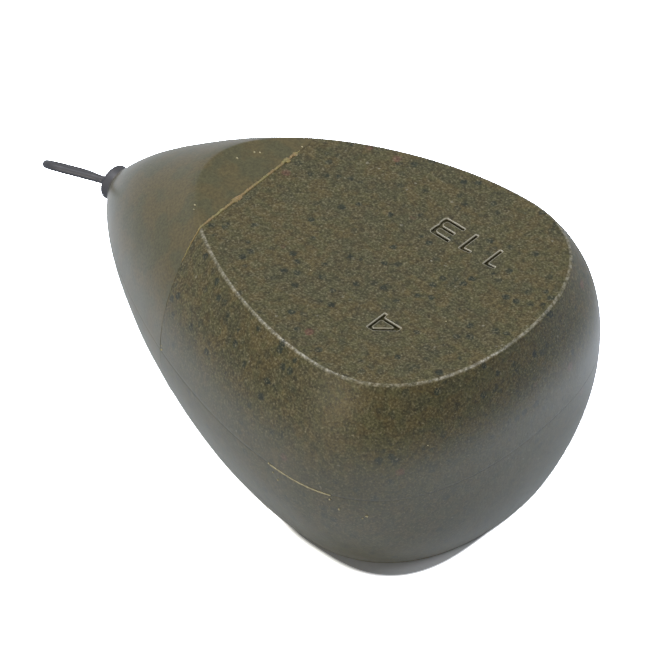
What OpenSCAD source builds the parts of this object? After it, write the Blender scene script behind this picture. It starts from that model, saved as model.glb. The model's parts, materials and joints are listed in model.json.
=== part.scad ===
// Flat pear fishing sinker: a coated casting with a swivel cast into its nose.
// The body is a solid of revolution about the X axis, from the tail at -X to the nose at +X,
// cut by two parallel flats. The origin is on the lower flat, under the widest section.

/* [Body] */
// Length of the coated body, from the tail tip to the end of the nose
body_len = 50.2; // [44:0.2:60]
// Radius of the widest section
body_r = 18.4; // [16:0.1:22]
// Distance from the tail tip to the widest section
widest_at = 13; // [10:0.5:18]
// Thickness between the two flats
body_t = 22.2; // [18:0.2:26]
// Radius of the rounding along the rim of each flat
rim_r = 0.5; // [0.3:0.05:0.9]

/* [Outline] */
// How square the tail tip is, as a share of the widest radius
tail_full_share = 0.771; // [0.6:0.01:0.9]
// How far the widest section's roundness reaches towards the tail, as a share of that stretch
tail_round_share = 0.52; // [0.35:0.01:0.65]
// How far the widest section's roundness reaches towards the nose, as a share of that stretch
nose_round_share = 0.377; // [0.25:0.01:0.5]
// How far the nose end's slope reaches back, as a share of the same stretch
nose_pull_share = 0.226; // [0.15:0.01:0.35]
// Slope of the body's surface to its axis at the nose end, in degrees
nose_slope = 56.7; // [45:0.5:65]

/* [Coats] */
// Thickness of both coats on the casting
coat_t = 0.4; // [0.3:0.05:0.8]
// Distance from the tail tip to the plane where the smooth nose coat starts
dip_at = 32.6; // [26:0.1:38]
// Height and length of the collar that the nose coat forms round the barrel
collar_r = 0.35; // [0.25:0.05:0.6]
// Thickness of the collar's edge on the barrel
collar_film = 0.08; // [0.05:0.01:0.15]

/* [Swivel barrel] */
// Outer radius of the barrel
barrel_r = 1.75; // [1.6:0.05:2.2]
// Length of the barrel
barrel_len = 6.4; // [5.5:0.1:8]
// How far the barrel stands out of the nose
barrel_proud = 1.2; // [1:0.1:1.8]
// Wall thickness of the barrel
barrel_wall = 0.54; // [0.35:0.05:0.6]
// Thickness of the lips that keep the heads in
lip_t = 0.4; // [0.3:0.05:0.5]
// Radius of the mouth in each lip
mouth_r = 0.7; // [0.65:0.01:0.8]
// Outer rounding of the barrel's ends
end_r = 0.45; // [0.3:0.05:0.6]
// Rounding inside the barrel, behind the lips
nook_r = 0.25; // [0.15:0.05:0.3]

/* [Swivel eyes] */
// Radius of the ball head that turns inside the barrel
head_r = 0.9; // [0.85:0.01:1]
// Radius of the shank that passes the mouth
shank_r = 0.4; // [0.35:0.01:0.42]
// Radius of the eye's wire
wire_r = 0.37; // [0.3:0.01:0.4]
// Radius of the round end of the eye, to the middle of its wire
loop_r = 2.19; // [1.8:0.01:2.6]
// Distance from the head's centre to the fork of the eye
fork_at = 3.3; // [2.8:0.1:3.6]
// Distance from the head's centre to the centre of the round end
loop_at = 7.15; // [6.5:0.05:8]
// Clearance between a head and the barrel's bore
run_gap = 0.08; // [0.06:0.01:0.12]
// How far the free eye is turned about its own shank, in degrees
eye_turn = 38; // [-90:1:90]

/* [Hidden] */
$fn = 64;

// Half thicknesses, and what the nose stretch measures
flat_z = body_t / 2;
nose_len = body_len - widest_at;
nose_end_r = barrel_r + collar_r;
nose_pull = nose_len * nose_pull_share;

// The barrel's ends and the places of the two heads on the axis
barrel_end = body_len + barrel_proud;
barrel_start = barrel_end - barrel_len;
bore_r = barrel_r - barrel_wall;
head_back = lip_t + head_r + run_gap;
head_lift = bore_r - head_r - run_gap;

// The free eye droops until its shank is a running gap off the lower edge of the barrel's mouth
mouth_drop = head_lift + mouth_r - run_gap;
droop = acos(shank_r / norm([mouth_drop, head_back])) - atan2(head_back, mouth_drop);

// The eye's fork: its half angle and the length of each straight leg
fork_span = loop_at - fork_at;
fork_angle = asin(loop_r / fork_span);
leg_len = sqrt(fork_span ^ 2 - loop_r ^ 2);
// The straight legs stay a little thicker than the bent wire, and the fork a little thicker still
swell = 0.02;
leg_r = wire_r + swell;
fork_r = max(shank_r, leg_r) + swell;

// Steps along each profile curve, round each level line, up the wall and over the rim
curve_steps = 22;
line_steps = 30;
wall_steps = 8;
rim_steps = 4;
search_steps = 30;
// The last station of the profile, on the axis at the nose end
last_station = 2.04;
// How far cutting shapes run past what they cut
overrun = 1;

// The profile is two cubic curves, from the tail tip to the widest section and on to the nose,
// and then the flat end of the nose. Each point is [distance along the axis, radius].
tail_curve = [
    [0, 0],
    [0, body_r * tail_full_share],
    [widest_at * (1 - tail_round_share), body_r],
    [widest_at, body_r]
];
nose_curve = [
    [widest_at, body_r],
    [widest_at + nose_len * nose_round_share, body_r],
    [body_len - nose_pull * cos(nose_slope), nose_end_r + nose_pull * sin(nose_slope)],
    [body_len, nose_end_r]
];

function cubic(p, t) = let(u = 1 - t)
    u ^ 3 * p[0] + 3 * u ^ 2 * t * p[1] + 3 * u * t ^ 2 * p[2] + t ^ 3 * p[3];

function cubic_dir(p, t) = let(u = 1 - t)
    u ^ 2 * (p[1] - p[0]) + 2 * u * t * (p[2] - p[1]) + t ^ 2 * (p[3] - p[2]);

// A station s runs 0 to 1 along the tail curve, to 2 along the nose curve, and on to last_station
// over the flat end of the nose
function profile(s) =
    s < 1 ? cubic(tail_curve, s) :
    s < 2 ? cubic(nose_curve, s - 1) :
    [body_len, nose_end_r * (last_station - s) / (last_station - 2)];

function profile_dir(s) =
    s < 1 ? cubic_dir(tail_curve, s) :
    s < 2 ? cubic_dir(nose_curve, s - 1) :
    [0, -1];

// Outward unit normal of the profile, and the profile moved inwards by a depth
function outward(s) = let(d = profile_dir(s)) [-d[1], d[0]] / norm(d);
function inset(s, depth) = profile(s) - depth * outward(s);

// The station between a thin end and a thick end where the inset profile has a given radius
function station(r, depth, thin, thick, n = search_steps) =
    let(mid = (thin + thick) / 2)
    n == 0 ? mid :
    inset(mid, depth)[1] < r ? station(r, depth, mid, thick, n - 1) :
    station(r, depth, thin, mid, n - 1);

// Stations from the tail to the nose between two ends, closer together at both ends
function stations(r, depth) =
    let(from = station(r, depth, 0, 1), to = station(r, depth, last_station, 1))
    [for (k = [0:line_steps]) from + (to - from) * (1 - cos(180 * k / line_steps)) / 2];

// Half of a level line round the body's wall, at height z above the axis
function wall_half(z) = let(ss = stations(abs(z), 0))
    [for (k = [0:line_steps]) let(p = profile(ss[k]))
        [p[0], k == 0 || k == line_steps ? 0 : sqrt(max(0, p[1] ^ 2 - z ^ 2)), z]];

// Half of a line along the rim's rounding: a ball rolls along the wall and the flat, and the
// line turns on it from the wall, at 0, to the flat, at 1
function rim_half(turn) = let(ball_z = flat_z - rim_r, ss = stations(ball_z, rim_r))
    [for (k = [0:line_steps])
        let(
            c = inset(ss[k], rim_r),
            y = k == 0 || k == line_steps ? 0 : sqrt(max(0, c[1] ^ 2 - ball_z ^ 2)),
            n = outward(ss[k]),
            wall_dir = [n[0], n[1] * y / c[1], n[1] * ball_z / c[1]],
            a = acos(wall_dir[2]),
            dir = (sin((1 - turn) * a) * wall_dir + sin(turn * a) * [0, 0, 1]) / sin(a)
        )
        [c[0], y, ball_z] + rim_r * dir];

// A half line with its mirror image, and a half line under the axis in place of over it
function closed(half) = concat(half, [for (k = [line_steps - 1:-1:1]) [half[k][0], -half[k][1], half[k][2]]]);
function under(half) = [for (p = half) [p[0], p[1], -p[2]]];

function body_lines() = concat(
    [for (i = [rim_steps:-1:0]) closed(under(rim_half(i / rim_steps)))],
    [for (i = [-wall_steps:wall_steps]) closed(wall_half((flat_z - rim_r) * i / wall_steps))],
    [for (i = [0:rim_steps]) closed(rim_half(i / rim_steps))]
);

// Moves a shape from the body's axis, with the tail tip at zero, to the part's own frame
module in_frame() {
    translate([-widest_at, 0, flat_z]) children();
}

// Turns a 2D outline of radius and height about the body's axis
module turned() {
    rotate([0, 90, 0]) rotate_extrude($fn = 180) children();
}

// The coated body's outer form: lines stacked from the lower flat to the upper one
module body_form() {
    lines = body_lines();
    n = len(lines[0]);
    last = len(lines) - 1;
    polyhedron(
        points = [for (line = lines) each line],
        faces = concat(
            [[for (k = [n - 1:-1:0]) k]],
            [[for (k = [0:n - 1]) last * n + k]],
            [for (i = [0:last - 1], k = [0:n - 1]) let(j = (k + 1) % n)
                [i * n + k, i * n + j, (i + 1) * n + j]],
            [for (i = [0:last - 1], k = [0:n - 1]) let(j = (k + 1) % n)
                [i * n + k, (i + 1) * n + j, (i + 1) * n + k]]
        ),
        convexity = 4
    );
}

// The casting's outer form, a coat's thickness inside the body's
module core_form() {
    outline = [for (i = [0:2 * curve_steps]) let(p = inset(i / curve_steps, coat_t)) [p[1], p[0]]];
    last = outline[2 * curve_steps];
    intersection() {
        turned() polygon(concat(outline, [[0, last[1]]]));
        translate([-overrun, -body_r - overrun, coat_t - flat_z])
            cube([body_len + 2 * overrun, 2 * (body_r + overrun), body_t - 2 * coat_t]);
    }
}

// A rounded rod's outline, from the axis outwards
module rod_outline(r, length, round_r) {
    square([r - round_r, length]);
    translate([0, round_r]) square([r, length - 2 * round_r]);
    for (y = [round_r, length - round_r]) translate([r - round_r, y]) circle(round_r);
}

// The space that the barrel takes up in the casting and the coat
module barrel_form() {
    translate([barrel_start, 0, 0]) turned() rod_outline(barrel_r, barrel_len, end_r);
}

// One eye, with its head at zero and its shank along X: a ball head, a shank, a fork of two
// straight legs and a round end, all from one wire
module eye() {
    rotate([0, 90, 0]) {
        sphere(head_r);
        cylinder(r = shank_r, h = fork_at);
        translate([0, 0, fork_at]) sphere(fork_r);
    }
    for (side = [-1, 1])
        translate([fork_at, 0, 0]) rotate([0, 90, side * fork_angle])
            cylinder(r = leg_r, h = leg_len + swell);
    translate([loop_at, 0, 0]) rotate([0, 0, -90 - fork_angle])
        rotate_extrude(angle = 180 + 2 * fork_angle) translate([loop_r, 0]) circle(wire_r);
}

module anchor_form() {
    translate([barrel_start + head_back, 0, 0]) rotate([0, 0, 180]) rotate([90, 0, 0]) eye();
}

// The coat on the whole body: a shell between the casting and the outer form
module coat_form() {
    difference() {
        body_form();
        core_form();
        barrel_form();
    }
}

// A block that spans the body between two distances from the tail tip
module slice(from, to) {
    translate([from, -body_r - overrun, -flat_z - overrun])
        cube([to - from, 2 * (body_r + overrun), body_t + 2 * overrun]);
}

// The dense casting, with the barrel and the anchor eye cast into it
module core() {
    color([0.36, 0.36, 0.37])
    in_frame() difference() {
        core_form();
        barrel_form();
        anchor_form();
    }
}

// The grainy coat, from the tail to the dip line
module camo_coat() {
    color([0.40, 0.36, 0.27])
    in_frame() intersection() {
        coat_form();
        slice(-overrun, dip_at);
    }
}

// The smooth coat, from the dip line to the nose, with its collar on the barrel
module nose_coat() {
    collar_curve = [for (i = [0:rim_steps + 2]) let(a = 90 * i / (rim_steps + 2))
        [barrel_r + collar_film + (collar_r - collar_film) * (1 - sin(a)), body_len + collar_r * (1 - cos(a))]];
    color([0.48, 0.47, 0.41])
    in_frame() difference() {
        union() {
            intersection() {
                body_form();
                slice(dip_at, body_len + overrun);
            }
            turned() polygon(concat(
                [[0, body_len - coat_t]],
                [[barrel_r + collar_r, body_len - coat_t]],
                collar_curve,
                [[0, body_len + collar_r]]
            ));
        }
        core_form();
        barrel_form();
    }
}

// The swivel's barrel: a tube whose ends are swaged in to lips that keep the heads
module swivel_barrel() {
    color([0.17, 0.17, 0.18])
    in_frame() translate([barrel_start, 0, 0]) turned() difference() {
        rod_outline(barrel_r, barrel_len, end_r);
        translate([0, lip_t]) rod_outline(bore_r, barrel_len - 2 * lip_t, nook_r);
        translate([0, -overrun]) square([mouth_r, barrel_len + 2 * overrun]);
    }
}

// The free eye, for the line: its head lies against the top of the bore as the eye droops
module line_eye() {
    color([0.22, 0.22, 0.24])
    in_frame() translate([barrel_end - head_back, 0, head_lift]) rotate([eye_turn, droop, 0]) eye();
}

// The fixed eye, cast into the core
module anchor_eye() {
    color([0.22, 0.22, 0.24])
    in_frame() anchor_form();
}

core();
camo_coat();
nose_coat();
swivel_barrel();
line_eye();
anchor_eye();
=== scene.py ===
# %% [markdown]
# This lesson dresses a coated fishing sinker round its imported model.
# The sinker is a pear-shaped casting, flat above and below, with a swivel cast into its nose.
# A grainy camouflage coat covers the tail, and a smoother coat was dipped over the nose.
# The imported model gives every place, so the first step loads it and keeps the size of its box.

# %% Load the frame
import json
import math
import random

import bmesh
import bpy
import numpy as np
from mathutils import Matrix, Vector, noise
from mathutils.geometry import interpolate_bezier


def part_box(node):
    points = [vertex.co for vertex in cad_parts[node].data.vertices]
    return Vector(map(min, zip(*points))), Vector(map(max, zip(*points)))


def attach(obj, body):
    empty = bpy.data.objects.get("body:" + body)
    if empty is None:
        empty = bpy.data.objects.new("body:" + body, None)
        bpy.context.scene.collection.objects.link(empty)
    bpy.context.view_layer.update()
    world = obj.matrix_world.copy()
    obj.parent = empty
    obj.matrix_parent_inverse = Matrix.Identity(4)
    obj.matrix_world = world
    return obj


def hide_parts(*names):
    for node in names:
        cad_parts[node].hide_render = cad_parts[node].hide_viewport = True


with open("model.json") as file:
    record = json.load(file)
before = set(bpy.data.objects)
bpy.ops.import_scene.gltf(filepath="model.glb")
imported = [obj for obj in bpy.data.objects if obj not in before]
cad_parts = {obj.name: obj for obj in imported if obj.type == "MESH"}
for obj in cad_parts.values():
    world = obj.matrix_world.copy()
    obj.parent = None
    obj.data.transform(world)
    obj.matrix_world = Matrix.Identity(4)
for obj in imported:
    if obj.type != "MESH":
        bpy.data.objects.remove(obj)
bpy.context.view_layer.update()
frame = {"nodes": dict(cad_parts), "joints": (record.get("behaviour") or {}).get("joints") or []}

mm = 0.001
print("Packed nodes:", sorted(frame["nodes"]))

# %% [markdown]
# The photograph was taken from behind the tail, high on the near side, with a long lens.
# Its azimuth, height and distance come from fitting the body's outline, and are real sizes.
# A camera is a matrix whose columns are its right, its up and its back, so no angle is guessed.

# %% Place the camera
camera_azimuth = math.radians(-138.87)
camera_elevation = math.radians(42.81)
camera_roll = math.radians(0.98)
camera_distance = 583.333 * mm
camera_right_by = -18.484 * mm
camera_up_by = 10.171 * mm
focal_pixels = 6488.4
picture_pixels = 650

grainy_low, grainy_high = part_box("camo_coat")
body_t = grainy_high.z - grainy_low.z
tail_x = grainy_low.x
axis_z = body_t / 2
axis_start = Vector((tail_x, 0, axis_z))

level_right = Vector((math.cos(camera_azimuth), math.sin(camera_azimuth), 0))
camera_back = Vector((
    math.sin(camera_azimuth) * math.cos(camera_elevation),
    -math.cos(camera_azimuth) * math.cos(camera_elevation),
    math.sin(camera_elevation)))
level_up = camera_back.cross(level_right)
camera_right = level_right * math.cos(camera_roll) + level_up * math.sin(camera_roll)
camera_up = level_up * math.cos(camera_roll) - level_right * math.sin(camera_roll)
camera_at = (axis_start + camera_back * camera_distance
             + camera_right * camera_right_by + camera_up * camera_up_by)

camera = bpy.data.objects.new("camera", bpy.data.cameras.new("camera"))
bpy.context.scene.collection.objects.link(camera)
bpy.context.scene.camera = camera
camera.data.lens = focal_pixels / picture_pixels * camera.data.sensor_width
camera.data.clip_start = 10 * mm
camera.data.clip_end = 20
turn = Matrix((camera_right, camera_up, camera_back)).transposed()
camera.matrix_world = Matrix.Translation(camera_at) @ turn.to_4x4()
print("Lens in mm:", round(camera.data.lens, 1))

# %% [markdown]
# Both coats share one outer form: an outline turned about the body's axis and cut by two flats.
# The outline is two curves that meet at the widest section, so four points each are enough.
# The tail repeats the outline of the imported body. The photograph's nose is a little slimmer than
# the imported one, by a quarter of a millimetre at most, so there the skin runs just inside it.

# %% Draw the outline
body_len = 50.2 * mm
body_r = 18.4 * mm
widest_at = -tail_x
flat_z = body_t / 2
rim_r = 0.5 * mm
coat_t = 0.4 * mm
collar_r = 0.35 * mm
collar_film = 0.08 * mm
tail_full_share = 0.771
tail_round_share = 0.52
packed_nose = (0.377, 0.226, 56.7)
slim_nose = (0.41, 0.19, 54.8)

barrel_low, barrel_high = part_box("swivel_barrel")
barrel_r = (barrel_high.y - barrel_low.y) / 2
nose_len = body_len - widest_at
nose_end_r = barrel_r + collar_r


def along(x, r):
    """A point of the outline: x from the tail tip, r from the axis, drawn above the axis."""
    return Vector((tail_x + x, 0, axis_z + r))


def body_outline(nose_shape, tail_steps, nose_steps):
    """Points from the tail's tip to the barrel. The nose's shape is two shares and an angle."""
    round_share, pull_share, degrees = nose_shape
    pull, slope = nose_len * pull_share, math.radians(degrees)
    tail = interpolate_bezier(
        along(0, 0), along(0, body_r * tail_full_share),
        along(widest_at * (1 - tail_round_share), body_r), along(widest_at, body_r), tail_steps)
    nose = interpolate_bezier(
        along(widest_at, body_r), along(widest_at + nose_len * round_share, body_r),
        along(body_len - pull * math.cos(slope), nose_end_r + pull * math.sin(slope)),
        along(body_len, nose_end_r), nose_steps)
    return tail + nose[1:]


outline = body_outline(slim_nose, 60, 110)
print("Outline points:", len(outline))

# %% [markdown]
# The flats meet the wall in a narrow rounded rim, as left by a mould and softened by the coat.
# A bevel fails here, because the turned wall's faces are cut to slivers along the rim.
# Instead the mesh gets fine rows near the rim, and each row is then seated on a rolling ball:
# the rounding is where a ball of the rim's radius touches both the wall and the flat.

# %% Seat points on the rounded rim
def sampled(nose_shape):
    """Close points of an outline as (x, r), and its outward directions there."""
    points = np.array([(p.x, p.z - axis_z) for p in body_outline(nose_shape, 400, 700)])
    steps = np.gradient(points, axis=0)
    steps /= np.linalg.norm(steps, axis=1, keepdims=True)
    return points, np.stack([-steps[:, 1], steps[:, 0]], axis=1)


form_outline, form_normals = sampled(slim_nose)
points_at_once = 4000
seating_rounds = 4
tiny = 1e-9


def wall_at(points):
    """How far points lie outside the turned wall, and the wall's outward directions there."""
    r = np.hypot(points[:, 1], points[:, 2] - axis_z)
    flat = np.stack([points[:, 0], r], axis=1)
    nearest = np.empty(len(points), int)
    for start in range(0, len(points), points_at_once):
        part = flat[start:start + points_at_once]
        gaps = ((part[:, None] - form_outline[None]) ** 2).sum(axis=2)
        nearest[start:start + points_at_once] = gaps.argmin(axis=1)
    n = form_normals[nearest]
    out = ((flat - form_outline[nearest]) * n).sum(axis=1)
    safe_r = np.maximum(r, tiny)
    normals = np.stack([n[:, 0], n[:, 1] * points[:, 1] / safe_r,
                        n[:, 1] * (points[:, 2] - axis_z) / safe_r], axis=1)
    return out, normals


def seat_on_rim(points):
    """Moves points near a rim on to the rounding that a ball in its corner would touch."""
    points = points.copy()
    for _ in range(seating_rounds):
        wall_out, wall_n = wall_at(points)
        side = np.sign(points[:, 2] - axis_z)
        flat_n = np.stack([0 * side, 0 * side, side], axis=1)
        a = wall_out + rim_r
        b = np.abs(points[:, 2] - axis_z) - flat_z + rim_r
        c = (wall_n * flat_n).sum(axis=1)
        s2 = np.maximum(1 - c * c, 1e-6)
        alpha, beta = (a - b * c) / s2, (b - a * c) / s2
        reach = alpha[:, None] * wall_n + beta[:, None] * flat_n
        length = np.linalg.norm(reach, axis=1)
        near = (alpha > 0) & (beta > 0) & (length > tiny)
        points[near] -= (reach * (1 - rim_r / np.maximum(length, tiny))[:, None])[near]
    return points


print("Form samples:", len(form_outline))

# %% [markdown]
# The outer skin is a spin of the outline, cut at both flats and filled there.
# Extra cuts just inside each flat, and insets on it, give the rim its fine rows.
# The parting line of the mould runs round the middle, so it gets fine rows as well.
# Parts are sorted by place before a merge or a cut, so that each run merges the same points.

# %% Turn and cut the body
spin_steps = 288
row_step = 0.08 * mm
rim_rows = 7
cut_gap = 0.001 * mm
weld_gap = 0.002 * mm
place_step = 0.0001 * mm


def put_in_order(bm):
    """Sorts the parts of a bmesh by place. A spin leaves them in another order each run."""
    for parts in (bm.verts, bm.edges, bm.faces):
        places = [sorted(tuple(round(c / place_step) for c in v.co)
                         for v in getattr(part, "verts", [part])) for part in parts]
        in_order = sorted(range(len(places)), key=places.__getitem__)
        rank = {old: new for new, old in enumerate(in_order)}
        parts.index_update()
        parts.sort(key=lambda part: rank[part.index])
        parts.index_update()


def turned(points, steps, closed=False):
    """Points turned about the body's axis. A closed outline ends where it starts."""
    bm = bmesh.new()
    verts = [bm.verts.new(p) for p in points]
    nexts = verts[1:] + verts[:1] if closed else verts[1:]
    edges = [bm.edges.new(pair) for pair in zip(verts, nexts)]
    bmesh.ops.spin(bm, geom=verts + edges, cent=(0, 0, axis_z), axis=(1, 0, 0),
                   angle=2 * math.pi, steps=steps, use_merge=True)
    bmesh.ops.remove_doubles(bm, verts=bm.verts[:], dist=weld_gap)
    put_in_order(bm)
    return bm


def cut_through(bm, at, facing, **clear):
    """Cuts a bmesh by a plane, and gives the edges on it."""
    cut = bmesh.ops.bisect_plane(bm, geom=bm.verts[:] + bm.edges[:] + bm.faces[:], dist=cut_gap,
                                 plane_co=at, plane_no=facing, **clear)
    return [e for e in cut["geom_cut"] if isinstance(e, bmesh.types.BMEdge)]


def turned_form(points, half_t):
    """A whole body from its outline, flat at half_t above and below the axis."""
    bm = turned(points, spin_steps)
    for side in (-1, 1):
        rim = cut_through(bm, (0, 0, axis_z + side * half_t), (0, 0, side), clear_outer=True)
        bmesh.ops.edgeloop_fill(bm, edges=rim)
    bmesh.ops.recalc_face_normals(bm, faces=bm.faces[:])
    return bm


def flats_of(bm):
    """The lower and the upper flat: the largest faces that look down and up."""
    return [max(bm.faces, key=lambda f: f.calc_area() * (f.normal.z * side > 0.99))
            for side in (-1, 1)]


collar_steps = 8
collar_turns = [math.radians(90 * i / collar_steps) for i in range(collar_steps + 1)]
collar = [along(body_len + collar_r * (1 - math.cos(a)),
                barrel_r + collar_film + (collar_r - collar_film) * (1 - math.sin(a)))
          for a in collar_turns]
hole_gap = 0.005 * mm
hole_r = barrel_r + hole_gap
nose_in = body_len - coat_t
hole = [along(body_len + collar_r, hole_r), along(nose_in, hole_r)]
near_rim = [flat_z - row_step * k for k in range(1, rim_rows)]
near_seam = [0.05 * mm, 0.1 * mm]
sliver = 0.02 * mm

skin = turned_form(outline + collar[1:] + hole, flat_z)
for from_axis in (near_rim, near_seam):
    for side in (-1, 1):
        for z in from_axis:
            cut_through(skin, (0, 0, axis_z + side * z), (0, 0, 1))
put_in_order(skin)
bmesh.ops.remove_doubles(skin, verts=skin.verts[:], dist=sliver)
for _ in range(rim_rows):
    for flat in flats_of(skin):
        bmesh.ops.inset_region(skin, faces=[flat], thickness=row_step, use_even_offset=True)
print("Skin faces:", len(skin.faces))

# %% [markdown]
# A cast and dipped surface is never quite true: it swells and sinks by a few hundredths.
# Noise that depends only on the place moves each point along its normal, the same in every run.
# The flats stay true, so that the sinker still rests on its face.

# %% Seat the rim and add the unevenness
wave_size = 7 * mm
wave_height = 0.05 * mm
dent_size = 2.2 * mm
dent_height = 0.014 * mm
dent_shift = Vector((9, 4, 7))
seam_depth = 0.025 * mm
seam_half = 0.05 * mm
rim_reach = 1.2 * mm
collar_reach = 2.5 * mm

rim_verts = [v for v in skin.verts if abs(v.co.z - axis_z) > flat_z - rim_reach]
seated = seat_on_rim(np.array([v.co for v in rim_verts]))
for v, p in zip(rim_verts, seated):
    v.co = p
skin.normal_update()


def unevenness(p):
    """How far the skin swells out at a place, or sinks in."""
    wave = noise.noise(p / wave_size) * wave_height
    return wave + noise.noise(p / dent_size + dent_shift) * dent_height


def calm_near_flats(p):
    """1 on the wall, falling to 0 on the flats and round the barrel's collar."""
    wall = min(1.0, max(0.0, (flat_z - abs(p.z - axis_z)) / rim_reach))
    nose = min(1.0, max(0.0, (tail_x + nose_in - p.x) / collar_reach))
    return wall * nose


moves = []
for v in skin.verts:
    calm = calm_near_flats(v.co)
    seam = math.exp(-((v.co.z - axis_z) / seam_half) ** 2) if calm else 0.0
    shift = unevenness(v.co) * calm - seam * seam_depth * calm
    moves.append(v.normal * shift)
for v, move in zip(skin.verts, moves):
    v.co += move
print("Seated rim points:", len(rim_verts))

# %% [markdown]
# The upper flat carries its weight in sunk figures, which the mould left.
# They read towards the nose, and their feet point to the far side.
# Each is an outline in millimetres, placed from the tail's tip and the axis, whose corners are
# rounded. It runs anticlockwise, and an island in it runs clockwise, so in is always left.

# %% Draw the figures
figure_corner = 0.14 * mm
corner_steps = 3
one = [[(0, 0), (0, 2.6), (-0.45, 2.6), (-1.35, 2.42), (-1.35, 2.0), (-0.5, 2.12), (-0.5, 0)]]
three = [[(-0.1, 0), (0.04, 0.3), (0.04, 0.95), (-0.1, 1.22), (0.0, 1.5), (0, 2.35), (-0.3, 2.6),
          (-2.4, 2.6), (-2.4, 2.08), (-0.75, 2.08), (-0.55, 1.9), (-0.65, 1.58), (-2.15, 1.58),
          (-2.15, 1.08), (-0.6, 1.08), (-0.48, 0.9), (-0.55, 0.5), (-2.45, 0.5), (-2.45, 0)]]
four = [[(0, 0), (0, 2.6), (-0.85, 2.6), (-2.6, 1.06), (-2.6, 0.5), (-0.5, 0.5), (-0.5, 0)],
        [(-0.5, 1.02), (-1.9, 1.02), (-0.62, 2.15), (-0.5, 2.1)]]
figures = [(one, 10.8, -7.85), (one, 13.78, -7.96), (three, 17.23, -7.86), (four, 12.94, 5.49)]


def neighbours(points):
    """Each point of a closed outline, between the one before it and the one after."""
    return zip(points[-1:] + points[:-1], points, points[1:] + points[:1])


def rounded(points):
    """A closed outline whose corners are replaced by small curves."""
    out = []
    for before, corner, after in neighbours(points):
        back, on = before - corner, after - corner
        reach = min(figure_corner, back.length * 0.45, on.length * 0.45)
        start, end = corner + back.normalized() * reach, corner + on.normalized() * reach
        for i in range(corner_steps + 1):
            t = i / corner_steps
            out.append(start * (1 - t) ** 2 + corner * 2 * t * (1 - t) + end * t * t)
    return out


def moved_left(points, by):
    """A closed outline moved to the left of the way that it runs."""
    out = []
    for before, p, after in neighbours(points):
        a, b = (p - before).normalized(), (after - p).normalized()
        out.append(p + Vector((-a.y - b.y, a.x + b.x, 0)) / (1 + a.dot(b)) * by)
    return out

print("Figures:", len(figures))

# %% [markdown]
# The figures are drawn into the upper flat, and it is then filled again round them.
# Copies of each outline, each further in and deeper, make a rounded lip, a wall and a soft floor.
# Each copy carries its number as a share in a layer, sunk, by which the finish finds the lips.

# %% Sink the figures
lip_r = 0.14 * mm
lip_turns = [math.radians(90 * i / 4) for i in range(5)]
figure_depth = 0.32 * mm
wall_lean = 0.01 * mm
floor_round = 0.02 * mm


def add_loop(bm, points, depth, share):
    """A closed outline as edges at a depth under the flat, with its share in the layer."""
    verts = [bm.verts.new(p + Vector((tail_x, 0, body_t - depth))) for p in points]
    for v in verts:
        v[bm.verts.layers.float["sunk"]] = share
    return verts, [bm.edges.new(pair) for pair in zip(verts, verts[1:] + verts[:1])]


def filled(bm, edges):
    """The faces that fill closed outlines, with the inner ones left open."""
    made = bmesh.ops.triangle_fill(bm, edges=edges, use_beauty=True, normal=(0, 0, 1))["geom"]
    return [f for f in made if isinstance(f, bmesh.types.BMFace)]


sink_steps = [(lip_r * math.sin(a), lip_r * (1 - math.cos(a))) for a in lip_turns]
sink_steps += [(lip_r + wall_lean, figure_depth - floor_round),
               (lip_r + wall_lean + floor_round, figure_depth)]
skin.verts.layers.float.new("sunk")
upper = flats_of(skin)[1]
flat_edges = upper.edges[:]
bmesh.ops.delete(skin, geom=[upper], context="FACES_ONLY")
for loops, x, y in figures:
    floor_edges = []
    for loop in loops:
        outline_points = rounded([Vector((x + dx, y + dy, 0)) * mm for dx, dy in loop])
        upper_verts, edges = add_loop(skin, outline_points, 0, 0)
        flat_edges += edges
        for k, (inwards, depth) in enumerate(sink_steps[1:], 1):
            verts, edges = add_loop(skin, moved_left(outline_points, inwards), depth,
                                    k / (len(sink_steps) - 1))
            for i in range(len(verts)):
                j = (i + 1) % len(verts)
                skin.faces.new((upper_verts[i], upper_verts[j], verts[j], verts[i]))
            upper_verts = verts
        floor_edges += edges
    filled(skin, floor_edges)
print("Faces of the flat:", len(filled(skin, flat_edges)))

# %% [markdown]
# Each coat is a real shell, so it also gets the inner wall that lies on the casting.
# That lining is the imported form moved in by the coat's thickness, short of it by a hair so that
# it doesn't share the casting's surface, and turned inside out.

# %% Turn the lining
lining_gap = 0.01 * mm
inner_t = coat_t - lining_gap
keep_every = 22


def inner_outline():
    """The outline moved inwards by the coat, from the tail to the hole round the barrel."""
    packed_outline, packed_normals = sampled(packed_nose)
    picks = list(range(0, len(packed_outline), keep_every)) + [len(packed_outline) - 1]
    moved = packed_outline[picks] - inner_t * packed_normals[picks]
    points = [Vector((x, 0, axis_z + max(r, 0))) for x, r in moved if r > hole_r or x < 0]
    points[0] = Vector((points[0].x, 0, axis_z))
    return points + [along(nose_in, hole_r)]


lining = turned_form(inner_outline(), flat_z - inner_t)
bmesh.ops.reverse_faces(lining, faces=lining.faces[:])
print("Lining faces:", len(lining.faces))

# %% [markdown]
# Both walls are cut at the plane where the nose was dipped, and the ring between them is filled.
# The sinker hung a little askew when it was dipped, so that plane leans by nearly two degrees.

# %% Close the two coats as shells
dip_at = 32.93 * mm
dip_lean = 0.03
dip_point = Vector((tail_x + dip_at, 0, 0))
dip_normal = Vector((1, dip_lean, 0)).normalized()
hole_weld = 0.018 * mm


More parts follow.
